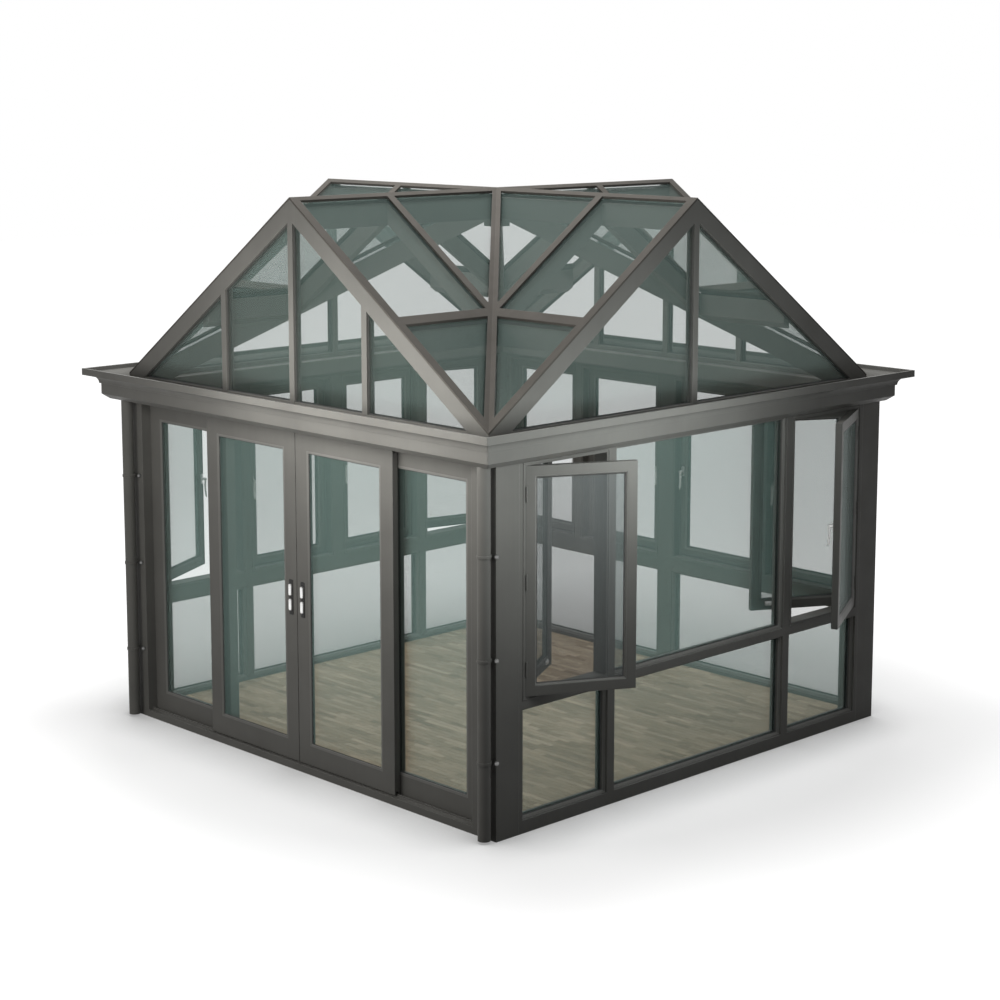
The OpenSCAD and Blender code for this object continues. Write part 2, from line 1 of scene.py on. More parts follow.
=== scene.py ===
"""Looks of a square glass conservatory with a cross-gabled glass roof.

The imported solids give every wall, beam and pane. This script gives them their
finishes, and adds what is too fine for the solids: sloped glazing beads and
rubber seals round the panes, raised edges round the sash rims, window levers,
hinges, door pulls and rollers, bracket bolts and floor strips. All lengths
are in metres.
"""
import json
import math

import bpy
import numpy as np
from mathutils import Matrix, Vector


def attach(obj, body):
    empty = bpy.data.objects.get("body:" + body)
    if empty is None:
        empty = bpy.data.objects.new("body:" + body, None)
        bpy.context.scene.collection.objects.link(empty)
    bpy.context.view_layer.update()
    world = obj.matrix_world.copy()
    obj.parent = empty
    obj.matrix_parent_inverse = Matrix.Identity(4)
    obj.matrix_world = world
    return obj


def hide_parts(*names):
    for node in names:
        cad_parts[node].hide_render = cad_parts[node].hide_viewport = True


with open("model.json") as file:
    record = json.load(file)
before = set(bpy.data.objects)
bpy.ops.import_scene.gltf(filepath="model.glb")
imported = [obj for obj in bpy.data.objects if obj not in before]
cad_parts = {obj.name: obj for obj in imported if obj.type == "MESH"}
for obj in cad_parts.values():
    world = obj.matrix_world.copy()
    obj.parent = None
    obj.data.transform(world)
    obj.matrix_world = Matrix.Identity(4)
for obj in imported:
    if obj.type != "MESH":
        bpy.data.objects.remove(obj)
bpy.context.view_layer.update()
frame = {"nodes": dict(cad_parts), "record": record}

# Walls, as the solids have them
WALL_X = 1.8                        # outer face of the side walls
FRONT_Y, BACK_Y = -1.74, 1.8
POST_W, POST_D = 0.15, 0.18
FRAME_T = 0.1
SIDE_LEN, BACK_LEN = 3.18, 3.3      # wall frames between the corner posts
JAMB, MULLION, SIDE_BAY = 0.03, 0.06, 0.706
LEFT_MID, BACK_MID = 0.1, 0.136     # middle posts of the left and back walls
BASE_RAIL, LOW_TOP = 0.078, 0.736   # foot and top of the low panes
UP_Z0, UP_Z1 = 0.788, 2.16          # foot and top of the upper bays
SILL_MORE = 0.042                   # taller sill of the left and back walls
GLASS_SET, GLASS_T, SCREEN_T = 0.042, 0.024, 0.002

# Window sashes
SASH_W, SASH_T, RIM = 0.058, 0.042, 0.02
OPEN_OUT, OPEN_IN, OPEN_REAR = math.radians(28), math.radians(29), math.radians(14)
END_W = SIDE_BAY - 2 * RIM
SASH_Z0, REAR_Z0, SASH_Z1 = UP_Z0 + RIM, UP_Z0 + SILL_MORE + RIM, UP_Z1 - RIM

# Door leaves
LEAF_W, LEAF_T, STILE, LEAF_FOOT = 0.902, 0.04, 0.108, 0.125
LEAF_Z0, LEAF_Z1, LEAF_SET, LEAF_GLASS = 0.052, 2.148, 0.022, 0.008
FIXED_X0, FIXED_W, FIXED_SET = 0.765, 0.835, 0.07
SILL_H, HEAD_Z, TRACK_H = 0.046, 2.154, 0.012
MEETING_GAP = 0.006
PULL_Z = 1.1

# Gables and roof
GABLE, GABLE_T, GUTTER_Z, RAIL_H = 1.735, 0.06, 2.3, 0.034
BAR_HALF, DOOR_BARS, SIDE_BARS = 0.023, (-0.68, 0, 0.68), (0,)
RIDGE_Z, ROOF_RISE, CAP_T, VERGE_H = 3.578, 1.233, 0.012, 0.1

# Rain pipes and floor
PIPE_X = (-1.69, 1.756)
BRACKET_Z = (0.47, 1.065, 1.66)
FLOOR_TOP, FLOOR_Y = 0.05, (-1.598, 1.698)

# Trim
BITE = 0.0004                       # how far a bead sinks into its bar
BEAD_W, SASH_BEAD_W = 0.014, 0.012
BARE_REACH = 0.0005                 # reach of a seal with no bead beside it


# ---------------------------------------------------------------- materials

def new_material(name):
    """An empty node material and its tree, shader and object coordinates."""
    mat = bpy.data.materials.new(name)
    mat.use_nodes = True
    tree = mat.node_tree
    shader = tree.nodes["Principled BSDF"]
    coords = tree.nodes.new("ShaderNodeTexCoord")
    return mat, tree, shader, coords.outputs["Object"]


def stretched(tree, coords, scale):
    """Coordinates times a scale for each axis, to draw a pattern out."""
    node = tree.nodes.new("ShaderNodeMapping")
    node.inputs["Scale"].default_value = scale
    tree.links.new(coords, node.inputs["Vector"])
    return node.outputs["Vector"]


def noise(tree, coords, scale, detail=3.0, rough=0.55):
    """Cloudy values from 0 to 1, mostly from 0.3 to 0.7."""
    node = tree.nodes.new("ShaderNodeTexNoise")
    node.inputs["Scale"].default_value = scale
    node.inputs["Detail"].default_value = detail
    node.inputs["Roughness"].default_value = rough
    tree.links.new(coords, node.inputs["Vector"])
    return node.outputs["Fac"]


def ramp(tree, value, stops):
    """A colour for each value, through stops of (place, colour)."""
    node = tree.nodes.new("ShaderNodeValToRGB")
    band = node.color_ramp
    while len(band.elements) < len(stops):
        band.elements.new(0.5)
    for element, (place, colour) in zip(band.elements, stops):
        element.position = place
        element.color = (*colour, 1)
    tree.links.new(value, node.inputs["Fac"])
    return node.outputs["Color"]


def levels(tree, value, low, high, first=0.3, last=0.7):
    """Stretches values from first..last to low..high."""
    node = tree.nodes.new("ShaderNodeMapRange")
    node.inputs["From Min"].default_value = first
    node.inputs["From Max"].default_value = last
    node.inputs["To Min"].default_value = low
    node.inputs["To Max"].default_value = high
    tree.links.new(value, node.inputs["Value"])
    return node.outputs["Result"]


def mixed(tree, first, second, factor, mode="MIX"):
    """Two colours or outputs blended by a factor, itself a number or output."""
    node = tree.nodes.new("ShaderNodeMix")
    node.data_type = "RGBA"
    node.blend_type = mode
    ends = [s for s in node.inputs if s.name in "AB" and s.type == "RGBA"]
    for socket, given in zip(ends, (first, second)):
        if isinstance(given, tuple):
            socket.default_value = (*given, 1)
        else:
            tree.links.new(given, socket)
    if isinstance(factor, float):
        node.inputs["Factor"].default_value = factor
    else:
        tree.links.new(factor, node.inputs["Factor"])
    return [s for s in node.outputs if s.type == "RGBA"][0]


def bumped(tree, shader, height, strength, distance, normal=None):
    """Gives the shader a fine relief from a height, over a normal if given."""
    node = tree.nodes.new("ShaderNodeBump")
    node.inputs["Strength"].default_value = strength
    node.inputs["Distance"].default_value = distance
    tree.links.new(height, node.inputs["Height"])
    if normal is not None:
        tree.links.new(normal, node.inputs["Normal"])
    tree.links.new(node.outputs["Normal"], shader.inputs["Normal"])


def rounded_normal(tree, radius):
    """The surface direction as if every edge were rounded off."""
    node = tree.nodes.new("ShaderNodeBevel")
    node.samples = 4
    node.inputs["Radius"].default_value = radius
    return node.outputs["Normal"]


def coated_metal(name, dark, light, edge, rough=(0.4, 0.52), radius=0.004):
    """Powder-coated aluminium: a fine orange-peel skin, soft cloudy tone, faint
    streaks along the draw of the profiles, and a painted highlight: the lighter
    colour 'edge' is laid where the rounded normal leaves the flat one."""
    mat, tree, shader, place = new_material(name)
    cloud = noise(tree, place, 1.7, 4.0)
    streak = noise(tree, stretched(tree, place, (38, 38, 1.2)), 1.0, 2.0)
    tone = ramp(tree, mixed(tree, cloud, streak, 0.12), [(0.3, dark), (0.7, light)])
    soft = rounded_normal(tree, radius)
    flat = tree.nodes.new("ShaderNodeNewGeometry")
    turn = tree.nodes.new("ShaderNodeVectorMath")
    turn.operation = "DOT_PRODUCT"
    tree.links.new(soft, turn.inputs[0])
    tree.links.new(flat.outputs["True Normal"], turn.inputs[1])
    # painted highlight: edges take the lighter colour 'edge' where the rounded normal
    # leaves the flat one
    edge_highlight = levels(tree, turn.outputs["Value"], 0.0, 0.55, 0.995, 0.85)
    tree.links.new(mixed(tree, tone, edge, edge_highlight), shader.inputs["Base Color"])
    skin = noise(tree, place, 9.0, 3.0)
    tree.links.new(levels(tree, skin, *rough), shader.inputs["Roughness"])
    shader.inputs["Specular IOR Level"].default_value = 0.12
    bumped(tree, shader, noise(tree, place, 650.0, 1.0), 0.12, 0.0006, soft)
    return mat


def glazing(name, colour, alpha, cloudy=0.04):
    """A sealed unit with a green-grey reflecting coat: each of its two faces
    lays a thin, even veil over what is behind it."""
    mat, tree, shader, place = new_material(name)
    lighter = tuple(c * (1 + cloudy) for c in colour)
    darker = tuple(c * (1 - cloudy) for c in colour)
    tone = ramp(tree, noise(tree, place, 0.9, 2.0), [(0.35, darker), (0.65, lighter)])
    tree.links.new(tone, shader.inputs["Base Color"])
    shader.inputs["Roughness"].default_value = 0.28
    shader.inputs["Metallic"].default_value = 0.7
    shader.inputs["Specular IOR Level"].default_value = 0.4
    shader.inputs["Alpha"].default_value = alpha
    return mat


def woven_screen(name):
    """Fly screen: grey warp threads with uneven light between them."""
    mat, tree, shader, place = new_material(name)
    warp = tree.nodes.new("ShaderNodeTexWave")
    warp.wave_type = "BANDS"
    warp.bands_direction = "DIAGONAL"
    warp.inputs["Scale"].default_value = 1.0
    warp.inputs["Distortion"].default_value = 1.2
    warp.inputs["Detail"].default_value = 2.0
    tree.links.new(stretched(tree, place, (36, 36, 0.4)), warp.inputs["Vector"])
    patch = noise(tree, stretched(tree, place, (20, 20, 1.1)), 1.0, 2.0)
    tone = ramp(tree, mixed(tree, warp.outputs["Fac"], patch, 0.5),
                [(0.25, (0.11, 0.122, 0.122)), (0.75, (0.2, 0.215, 0.215))])
    tree.links.new(tone, shader.inputs["Base Color"])
    shader.inputs["Roughness"].default_value = 0.7
    shader.inputs["Alpha"].default_value = 0.34
    return mat


def strip_wood(name):
    """Oiled wood strips: each strip has its own tone from the attribute
    'tone', with grain drawn out along X and darker pores."""
    mat, tree, shader, place = new_material(name)
    tone = tree.nodes.new("ShaderNodeAttribute")
    tone.attribute_name = "tone"
    base = ramp(tree, tone.outputs["Fac"],
                [(0.0, (0.24, 0.172, 0.106)), (0.35, (0.365, 0.277, 0.18)),
                 (0.7, (0.45, 0.353, 0.24)), (1.0, (0.58, 0.465, 0.33))])
    shift = tree.nodes.new("ShaderNodeVectorMath")
    shift.operation = "MULTIPLY_ADD"
    shift.inputs[1].default_value = (1, 1, 1)
    tree.links.new(place, shift.inputs[0])
    tree.links.new(tone.outputs["Vector"], shift.inputs[2])
    drawn_out = stretched(tree, shift.outputs["Vector"], (13, 95, 40))
    grain = noise(tree, drawn_out, 1.0, 5.0, 0.65)
    veins = ramp(tree, grain, [(0.32, (0.62, 0.6, 0.56)), (0.5, (1, 1, 1)),
                               (0.7, (1.12, 1.11, 1.08))])
    tree.links.new(mixed(tree, base, veins, 1.0, "MULTIPLY"),
                   shader.inputs["Base Color"])
    tree.links.new(levels(tree, grain, 0.5, 0.66), shader.inputs["Roughness"])
    bumped(tree, shader, grain, 0.25, 0.001)
    return mat


def bright_metal(name, dark=0.68, light=0.86, rough=(0.22, 0.36)):
    """Brushed bare metal, very slightly warm, with fine scratches along Z."""
    mat, tree, shader, place = new_material(name)
    warm = 0.985
    brush = noise(tree, stretched(tree, place, (900, 900, 30)), 1.0, 2.0)
    tone = ramp(tree, brush, [(0.3, (dark, dark, dark * warm)),
                              (0.7, (light, light, light * warm))])
    tree.links.new(tone, shader.inputs["Base Color"])
    tree.links.new(levels(tree, brush, *rough), shader.inputs["Roughness"])
    shader.inputs["Metallic"].default_value = 0.85
    bumped(tree, shader, brush, 0.08, 0.0003)
    return mat


def rubber(name):
    """Grey seal rubber with a dusty bloom."""
    mat, tree, shader, place = new_material(name)
    dust = noise(tree, place, 40.0, 3.0)
    tone = ramp(tree, dust, [(0.35, (0.035, 0.035, 0.034)), (0.7, (0.06, 0.061, 0.059))])
    tree.links.new(tone, shader.inputs["Base Color"])
    shader.inputs["Roughness"].default_value = 0.65
    bumped(tree, shader, dust, 0.1, 0.0005)
    return mat


# The third colour given to each coat is its painted edge highlight.
METAL = coated_metal("frame_bronze_coat", (0.113, 0.111, 0.104),
                     (0.145, 0.143, 0.134), (0.28, 0.278, 0.268))
CAP_METAL = coated_metal("cap_bronze_coat", (0.056, 0.052, 0.046),
                         (0.077, 0.071, 0.064), (0.15, 0.142, 0.132),
                         (0.45, 0.6), 0.003)
# The beads get a lighter copy of the frame coat: painted light, for the light their sloped
# faces catch.
LIT_BEAD_METAL = coated_metal("bead_bronze_lit_coat", (0.15, 0.148, 0.14),
                          (0.19, 0.188, 0.178), (0.38, 0.378, 0.365))
DARK_METAL = coated_metal("fitting_dark_coat", (0.03, 0.03, 0.03),
                          (0.045, 0.044, 0.043), (0.12, 0.12, 0.12),
                          (0.4, 0.5), 0.0015)
GLASS = glazing("coated_green_glazing", (0.188, 0.288, 0.262), 0.27)
# Roof and gable panes get a darker, thinner copy of the glazing: painted shade against the
# stronger light the top lamp puts on them.
SHADED_ROOF_GLASS = glazing("roof_green_glazing_shaded", (0.175, 0.248, 0.226), 0.205)
SCREEN = woven_screen("fly_screen_weave")
WOOD = strip_wood("oiled_strip_wood")
STEEL = bright_metal("brushed_steel")
ZINC = bright_metal("dull_zinc", 0.2, 0.27, (0.45, 0.6))
RUBBER = rubber("grey_seal_rubber")

FINISH = {"frame_metal": METAL, "cap_metal": CAP_METAL, "glass": GLASS,
          "mesh": SCREEN, "bright_metal": STEEL, "floor_wood": WOOD}
OWN_FINISH = {"pipe_brackets": METAL, "roof_glass": SHADED_ROOF_GLASS,
              "gable_glass": SHADED_ROOF_GLASS}
for row in frame["record"]["subparts"]:
    finish = OWN_FINISH.get(row["node"], FINISH[row["material_slot"]])
    node = frame["nodes"][row["node"]]
    node.data.materials.clear()
    node.data.materials.append(finish)


# ------------------------------------------------------------------- shapes

def add_piece(name, parts, material, body="building", smooth=False):
    """Joins closed parts, each (vertices, quads), into one mesh that rides on
    a body."""
    parts = [facing_out(part) for part in parts]
    count = np.cumsum([0] + [len(v) for v, _ in parts])
    verts = np.concatenate([v for v, _ in parts])
    quads = np.concatenate([q + c for (_, q), c in zip(parts, count)])
    mesh = bpy.data.meshes.new(name)
    mesh.from_pydata(verts, [], quads)
    mesh.polygons.foreach_set("use_smooth", np.full(len(quads), smooth))
    mesh.materials.append(material)
    mesh.validate()
    mesh.update()
    made = bpy.data.objects.new(name, mesh)
    bpy.context.scene.collection.objects.link(made)
    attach(made, body)
    return made


def facing_out(part):
    """A closed part with its quads turned so that their signed volume, the
    sum over both triangles of each quad of a . (b x c) / 6, is positive."""
    verts, quads = part
    a, b, c, d = ((verts - verts.mean(0))[quads[:, k]] for k in range(4))
    volume = (a * (np.cross(b, c) + np.cross(c, d))).sum()
    return (verts, quads) if volume > 0 else (verts, quads[:, ::-1])


def grid_quads(rows, cols, wrap_rows, wrap_cols):
    """Quads over a grid of rows by cols points, joined end to end if wrapped."""
    r = np.arange(rows if wrap_rows else rows - 1)[:, None]
    c = np.arange(cols if wrap_cols else cols - 1)[None, :]
    r1, c1 = (r + 1) % rows, (c + 1) % cols
    corners = [r * cols + c, r1 * cols + c, r1 * cols + c1, r * cols + c1]
    return np.stack(corners, -1).reshape(-1, 4)


def closed_tube(verts):
    """A tube of rings (rows, corners, 3). Each end is closed by a flat row of
    quads that join the two sides of its ring, corner by corner."""
    rows, corners = verts.shape[:2]
    i = np.arange(corners // 2 - 1)
    end = np.stack([i, i + 1, corners - 2 - i, corners - 1 - i], -1)
    sides = grid_quads(rows, corners, False, True)
    quads = np.concatenate([sides, end, end[:, ::-1] + (rows - 1) * corners])
    return verts.reshape(-1, 3), quads


def mitred_ring(path, normal, profile):
    """A profile carried round a closed flat path with mitred corners. Each
    profile point is (reach towards the inside, rise along the normal), and
    at a corner the reach runs along the sum of both edges' inward directions
    over one plus their cosine."""
    path, normal, profile = (np.asarray(a, float) for a in (path, normal, profile))
    edge = np.roll(path, -1, 0) - path
    edge /= np.linalg.norm(edge, axis=1)[:, None]
    inward = np.cross(normal, edge)
    before = np.roll(inward, 1, 0)
    mitre = (inward + before) / (1 + (inward * before).sum(1))[:, None]
    reach, rise = profile[None, :, :1], profile[None, :, 1:]
    verts = path[:, None] + reach * mitre[:, None] + rise * normal
    return verts.reshape(-1, 3), grid_quads(len(path), len(profile), True, True)


def swept(path, across, up, width, height, corners=12, power=2.6):
    """A bar along a path. Its section is a superellipse, |x/w|^p + |y/h|^p = 1,
    whose half sizes may change along the path. Both ends are closed."""
    path = np.asarray(path, float)
    turn = np.linspace(0, 2 * np.pi, corners, endpoint=False)
    sx = np.sign(np.cos(turn)) * np.abs(np.cos(turn)) ** (2 / power)
    sy = np.sign(np.sin(turn)) * np.abs(np.sin(turn)) ** (2 / power)
    width, height = (np.broadcast_to(np.asarray(size, float), len(path))
                     for size in (width, height))
    verts = (path[:, None]
             + (sx[None] * width[:, None])[..., None] * np.asarray(across, float)
             + (sy[None] * height[:, None])[..., None] * np.asarray(up, float))
    return closed_tube(verts)


def pill(start, end, across, up, width, height, corners=12, power=2.6):
    """A straight bar with rounded ends: the half sizes follow a quarter
    circle over the first and last stretch, down to a fiftieth."""
    start, end = np.asarray(start, float), np.asarray(end, float)
    length = np.linalg.norm(end - start)
    ease = min(width, height, length / 3) / length
    curve = np.sin(np.linspace(0.02, np.pi / 2, 5))
    rounded = (1 - np.cos(np.linspace(0, np.pi / 2, 5))) * ease
    place = np.concatenate([rounded, 1 - rounded[::-1]])
    size = np.concatenate([curve, curve[::-1]])
    path = start + (end - start) * place[:, None]
    return swept(path, across, up, width * size, height * size, corners, power)


def turned(centre, axis, profile, steps=20):
    """A turned shape: profile points (place along the axis, radius) spun round
    the axis. Both ends are closed."""
    axis = np.asarray(axis, float) / np.linalg.norm(axis)
    side = np.cross(axis, [0, 0, 1] if abs(axis[2]) < 0.9 else [1, 0, 0])
    side /= np.linalg.norm(side)
    other = np.cross(axis, side)
    turn = np.linspace(0, 2 * np.pi, steps, endpoint=False)
    ring = np.cos(turn)[:, None] * side + np.sin(turn)[:, None] * other
    profile = np.asarray(profile, float)
    along, radius = profile[:, None, :1], profile[:, None, 1:]
    return closed_tube(np.asarray(centre, float) + along * axis + radius * ring)


def dome(centre, axis, radius, rise, foot=0.0):
    """Half an ellipsoid on a short round foot."""
    turn = np.linspace(0, np.pi / 2, 7)
    profile = np.stack([foot + rise * np.sin(turn), radius * np.cos(turn)], 1)
    profile[-1, 1] = radius * 0.01
    profile = np.concatenate([[[0, radius]], profile])
    return turned(centre, axis, profile)


class Place:
    """A wall's, sash's or leaf's place: turns points (along it, inwards, up)
    into the frame's, by a 3 by 3 matrix and an origin."""

    def __init__(self, matrix, origin):
        self.m, self.o = np.asarray(matrix, float), np.asarray(origin, float)

    def __call__(self, part):
        """A part put in its place."""
        verts, quads = part
        return verts @ self.m.T + self.o, quads

    def then(self, matrix, origin):
        """A place inside this one."""
        origin = self.m @ np.asarray(origin, float) + self.o
        return Place(self.m @ np.asarray(matrix, float), origin)


def turn_z(angle):
    """The matrix of a turn about Z."""
    c, s = math.cos(angle), math.sin(angle)
    return [[c, -s, 0], [s, c, 0], [0, 0, 1]]


MIRROR = [[-1, 0, 0], [0, 1, 0], [0, 0, 1]]
RIGHT = Place(turn_z(math.pi / 2), (WALL_X, FRONT_Y + POST_D, 0))
BACK = Place(turn_z(math.pi), (BACK_LEN / 2, BACK_Y, 0))
LEFT = Place(turn_z(-math.pi / 2), (-WALL_X, BACK_Y - POST_D, 0))
FRONT = Place(turn_z(0), (0, FRONT_Y, 0))


def halves(bay, bar):
    """Two bays with a bar between them."""
    middle = (bay[0] + bay[1]) / 2
    return [(bay[0], middle - bar / 2), (middle + bar / 2, bay[1])]


def bays(length):
    """The three clear widths of a window wall."""
    return [(JAMB, JAMB + SIDE_BAY),
            (JAMB + SIDE_BAY + MULLION, length - JAMB - SIDE_BAY - MULLION),
            (length - JAMB - SIDE_BAY, length - JAMB)]


def four_bays(length, bar):
    """The upper bays of the left and back walls."""
    near, wide, far = bays(length)
    return [near, *halves(wide, bar), far]


def sash_bay(bay):
    """The part of a bay inside the rim, which a sash fills."""
    return bay[0] + RIM, bay[1] - RIM


def hinged_low(wall, bay, angle):
    """A sash hinged at the bay's near end and open outwards."""
    return wall.then(turn_z(-angle), (bay[0], 0, 0))


def hinged_high(wall, bay, angle):
    """A sash hinged at the bay's far end and open outwards."""
    return wall.then(np.array(turn_z(angle)) @ MIRROR, (bay[1], 0, 0))


def hinged_in_low(wall, bay, angle):
    """A sash hinged at the bay's near end and open into the room."""
    turned_in = np.array(turn_z(angle))
    hinge = np.array([bay[0], FRAME_T, 0]) + turned_in @ [0, -SASH_T, 0]
    return wall.then(turned_in, hinge)


def hinged_in_high(wall, bay, angle):
    """A sash hinged at the bay's far end and open into the room."""
    turned_in = np.array(turn_z(-angle)) @ MIRROR
    hinge = np.array([bay[1], FRAME_T, 0]) + turned_in @ [0, -SASH_T, 0]
    return wall.then(turned_in, hinge)


def door_leaf(left, start, depth):
    """A door leaf that starts so far from the middle, mirrored on the left."""
    if left:
        return FRONT.then(MIRROR, (-start, depth, 0))
    return FRONT.then(turn_z(0), (start, depth, 0))


def rectangle(x0, x1, y, z0, z1):
    """Corners in the wall's plane, anticlockwise seen from outside."""
    return [(x0, y, z0), (x1, y, z0), (x1, y, z1), (x0, y, z1)]


OUT, IN = np.array([0.0, -1, 0]), np.array([0.0, 1, 0])


def ring_outside(x0, x1, y, z0, z1, profile):
    """A ring of trim inside a rectangle, which rises outwards."""
    return mitred_ring(rectangle(x0, x1, y, z0, z1), OUT, profile)


def ring_inside(x0, x1, y, z0, z1, profile):
    """A ring of trim inside a rectangle, which rises into the room."""
    return mitred_ring(rectangle(x0, x1, y, z0, z1)[::-1], IN, profile)


# ----------------------------------------------------------- glazing trim

def seal_profile(reach):
    """A rubber lip: a low hump that rests on the glass."""
    return [(reach - 0.001, 0), (reach - 0.001, 0.0028), (reach + 0.0015, 0.0034),
            (reach + 0.0042, 0.0012), (reach + 0.0045, 0)]


def bead_profile(rise):
    """A sloped glazing bead with a small step at its foot."""
    return [(-BITE, 0), (-BITE, rise), (0.003, rise), (BEAD_W - 0.002, 0.0022),
            (BEAD_W, 0.0016), (BEAD_W, 0)]


INNER_BEAD = [(-BITE, 0), (-BITE, 0.026), (0.004, 0.026), (0.014, 0.02),
              (0.016, 0.018), (0.016, 0)]
REBATE_SEAL = [(0, 0), (0, 0.0015), (0.003, 0.0035), (0.006, 0.0015), (0.006, 0)]
RAISED_EDGE = [(-0.004, 0), (-0.004, 0.003), (-0.0025, 0.0042), (0.0025, 0.0042),
               (0.004, 0.003), (0.004, 0)]
REBATE_IN, EDGE_OUT = 0.008, 0.0165     # their distances from the sash's outline
LEAF_BEAD_RISE = 0.0036

beads, seals = [], []


def trim_fixed_pane(wall, x0, x1, z0, z1):
    """A fixed pane of a window wall: beads and seals on both faces."""
    near, far = GLASS_SET, GLASS_SET + GLASS_T
    outer_bead = bead_profile(0.011)
    beads.append(wall(ring_outside(x0, x1, near - BEAD_W, z0, z1, outer_bead)))
    seals.append(wall(ring_outside(x0, x1, near, z0, z1, seal_profile(BEAD_W))))
    seals.append(wall(ring_inside(x0, x1, far, z0, z1, seal_profile(BARE_REACH))))
    beads.append(wall(ring_inside(x0, x1, far, z0, z1, INNER_BEAD)))


side_bays = bays(SIDE_LEN)
low_back_bays = halves((JAMB, BACK_LEN - JAMB), BACK_MID)
for wall, low_bays in ((RIGHT, side_bays), (LEFT, side_bays), (BACK, low_back_bays)):
    for x0, x1 in low_bays:
        trim_fixed_pane(wall, x0, x1, BASE_RAIL, LOW_TOP)
trim_fixed_pane(RIGHT, *side_bays[1], UP_Z0, UP_Z1)

# Sashes: where each stands, its width, its foot and its kind
near_end, far_end = sash_bay(side_bays[0]), sash_bay(side_bays[2])
left_bays = [sash_bay(b) for b in four_bays(SIDE_LEN, LEFT_MID)]
back_bays = [sash_bay(b) for b in four_bays(BACK_LEN, BACK_MID)]
SASHES = [(hinged_low(RIGHT, near_end, OPEN_OUT), END_W, SASH_Z0, "screen"),
          (hinged_high(RIGHT, far_end, OPEN_OUT), END_W, SASH_Z0, "glass"),
          (hinged_in_low(RIGHT, near_end, OPEN_IN), END_W, SASH_Z0, "inner"),
          (hinged_in_high(RIGHT, far_end, OPEN_IN), END_W, SASH_Z0, "inner")]
for wall, hinged, bay, angle in ((LEFT, hinged_low, left_bays[0], OPEN_REAR),
                                 (LEFT, hinged_low, left_bays[1], 0),
                                 (LEFT, hinged_low, left_bays[2], 0),
                                 (LEFT, hinged_high, left_bays[3], OPEN_OUT),
                                 (BACK, hinged_low, back_bays[0], 0),
                                 (BACK, hinged_low, back_bays[1], 0),
                                 (BACK, hinged_high, back_bays[2], 0),
                                 (BACK, hinged_high, back_bays[3], 0)):
    SASHES.append((hinged(wall, bay, angle), bay[1] - bay[0], REAR_Z0, "glass"))

for sash, width, foot, kind in SASHES:
    x0, x1, z0, z1 = SASH_W, width - SASH_W, foot + SASH_W, SASH_Z1 - SASH_W
    half = (SCREEN_T if kind == "screen" else GLASS_T) / 2
    near, far = SASH_T / 2 - half, SASH_T / 2 + half
    rise = near - 0.002
    slope = [(-BITE, 0), (-BITE, rise), (0.003, rise), (SASH_BEAD_W - 0.001, 0.003),
             (SASH_BEAD_W, 0)]
    beads.append(sash(ring_outside(x0, x1, near, z0, z1, slope)))
    beads.append(sash(ring_inside(x0, x1, far, z0, z1, slope)))
    seals.append(sash(ring_outside(x0, x1, near, z0, z1, seal_profile(SASH_BEAD_W))))
    seals.append(sash(ring_inside(x0, x1, far, z0, z1, seal_profile(SASH_BEAD_W))))
    # the rebate seal shows as a dark line round the sash
    x0, x1, z0, z1 = REBATE_IN, width - REBATE_IN, foot + REBATE_IN, SASH_Z1 - REBATE_IN
    seals.append(sash(ring_inside(x0, x1, SASH_T, z0, z1, REBATE_SEAL)))

# A raised edge runs round the rim of every bay that holds sashes
rims = []
for wall, sash_bays, foot in ((RIGHT, (near_end, far_end), SASH_Z0),
                              (LEFT, left_bays, REAR_Z0), (BACK, back_bays, REAR_Z0)):
    for x0, x1 in sash_bays:
        x0, x1, z0, z1 = x0 - EDGE_OUT, x1 + EDGE_OUT, foot - EDGE_OUT, SASH_Z1 + EDGE_OUT
        rims.append(wall(ring_outside(x0, x1, 0, z0, z1, RAISED_EDGE)))
        rims.append(wall(ring_inside(x0, x1, FRAME_T, z0, z1, RAISED_EDGE)))
add_piece("window_rim_edges", rims, METAL)


def leaf_trim(leaf, x0, x1, z0, z1):
    """A door leaf's outer bead, and the seals on both faces of its glass."""
    near, far = LEAF_GLASS, LEAF_GLASS + GLASS_T
    bead = bead_profile(LEAF_BEAD_RISE)
    return (leaf(ring_outside(x0, x1, near / 2, z0, z1, bead)),
            [leaf(ring_outside(x0, x1, near, z0, z1, seal_profile(BEAD_W))),
             leaf(ring_inside(x0, x1, far, z0, z1, seal_profile(BARE_REACH)))])


# Fixed door leaves stand behind the sliding ones
for left in (False, True):
    bead, pair = leaf_trim(door_leaf(left, FIXED_X0, FIXED_SET), STILE, FIXED_W - STILE,
                           SILL_H + LEAF_FOOT, HEAD_Z - STILE)
    beads.append(bead)
    seals.extend(pair)

add_piece("window_glazing_beads", beads, LIT_BEAD_METAL)
add_piece("window_seals", seals, RUBBER)


# -------------------------------------------------------- sliding door trim

PLATE_HALF, GRIP_HALF, GRIP_STEP = 0.112, 0.038, 0.0475
PLATE_OUT, GRIP_OUT = 0.0012, 0.0085    # their middles before the leaf's face
WHEEL_R, WHEEL_GAP = 0.014, 0.0003
WHEEL = [(-0.01, 0.0001), (-0.01, 0.004), (-0.005, 0.004), (-0.005, 0.0125),
         (-0.0042, WHEEL_R), (0.0042, WHEEL_R), (0.005, 0.0125), (0.005, 0.004),
         (0.01, 0.004), (0.01, 0.0001)]

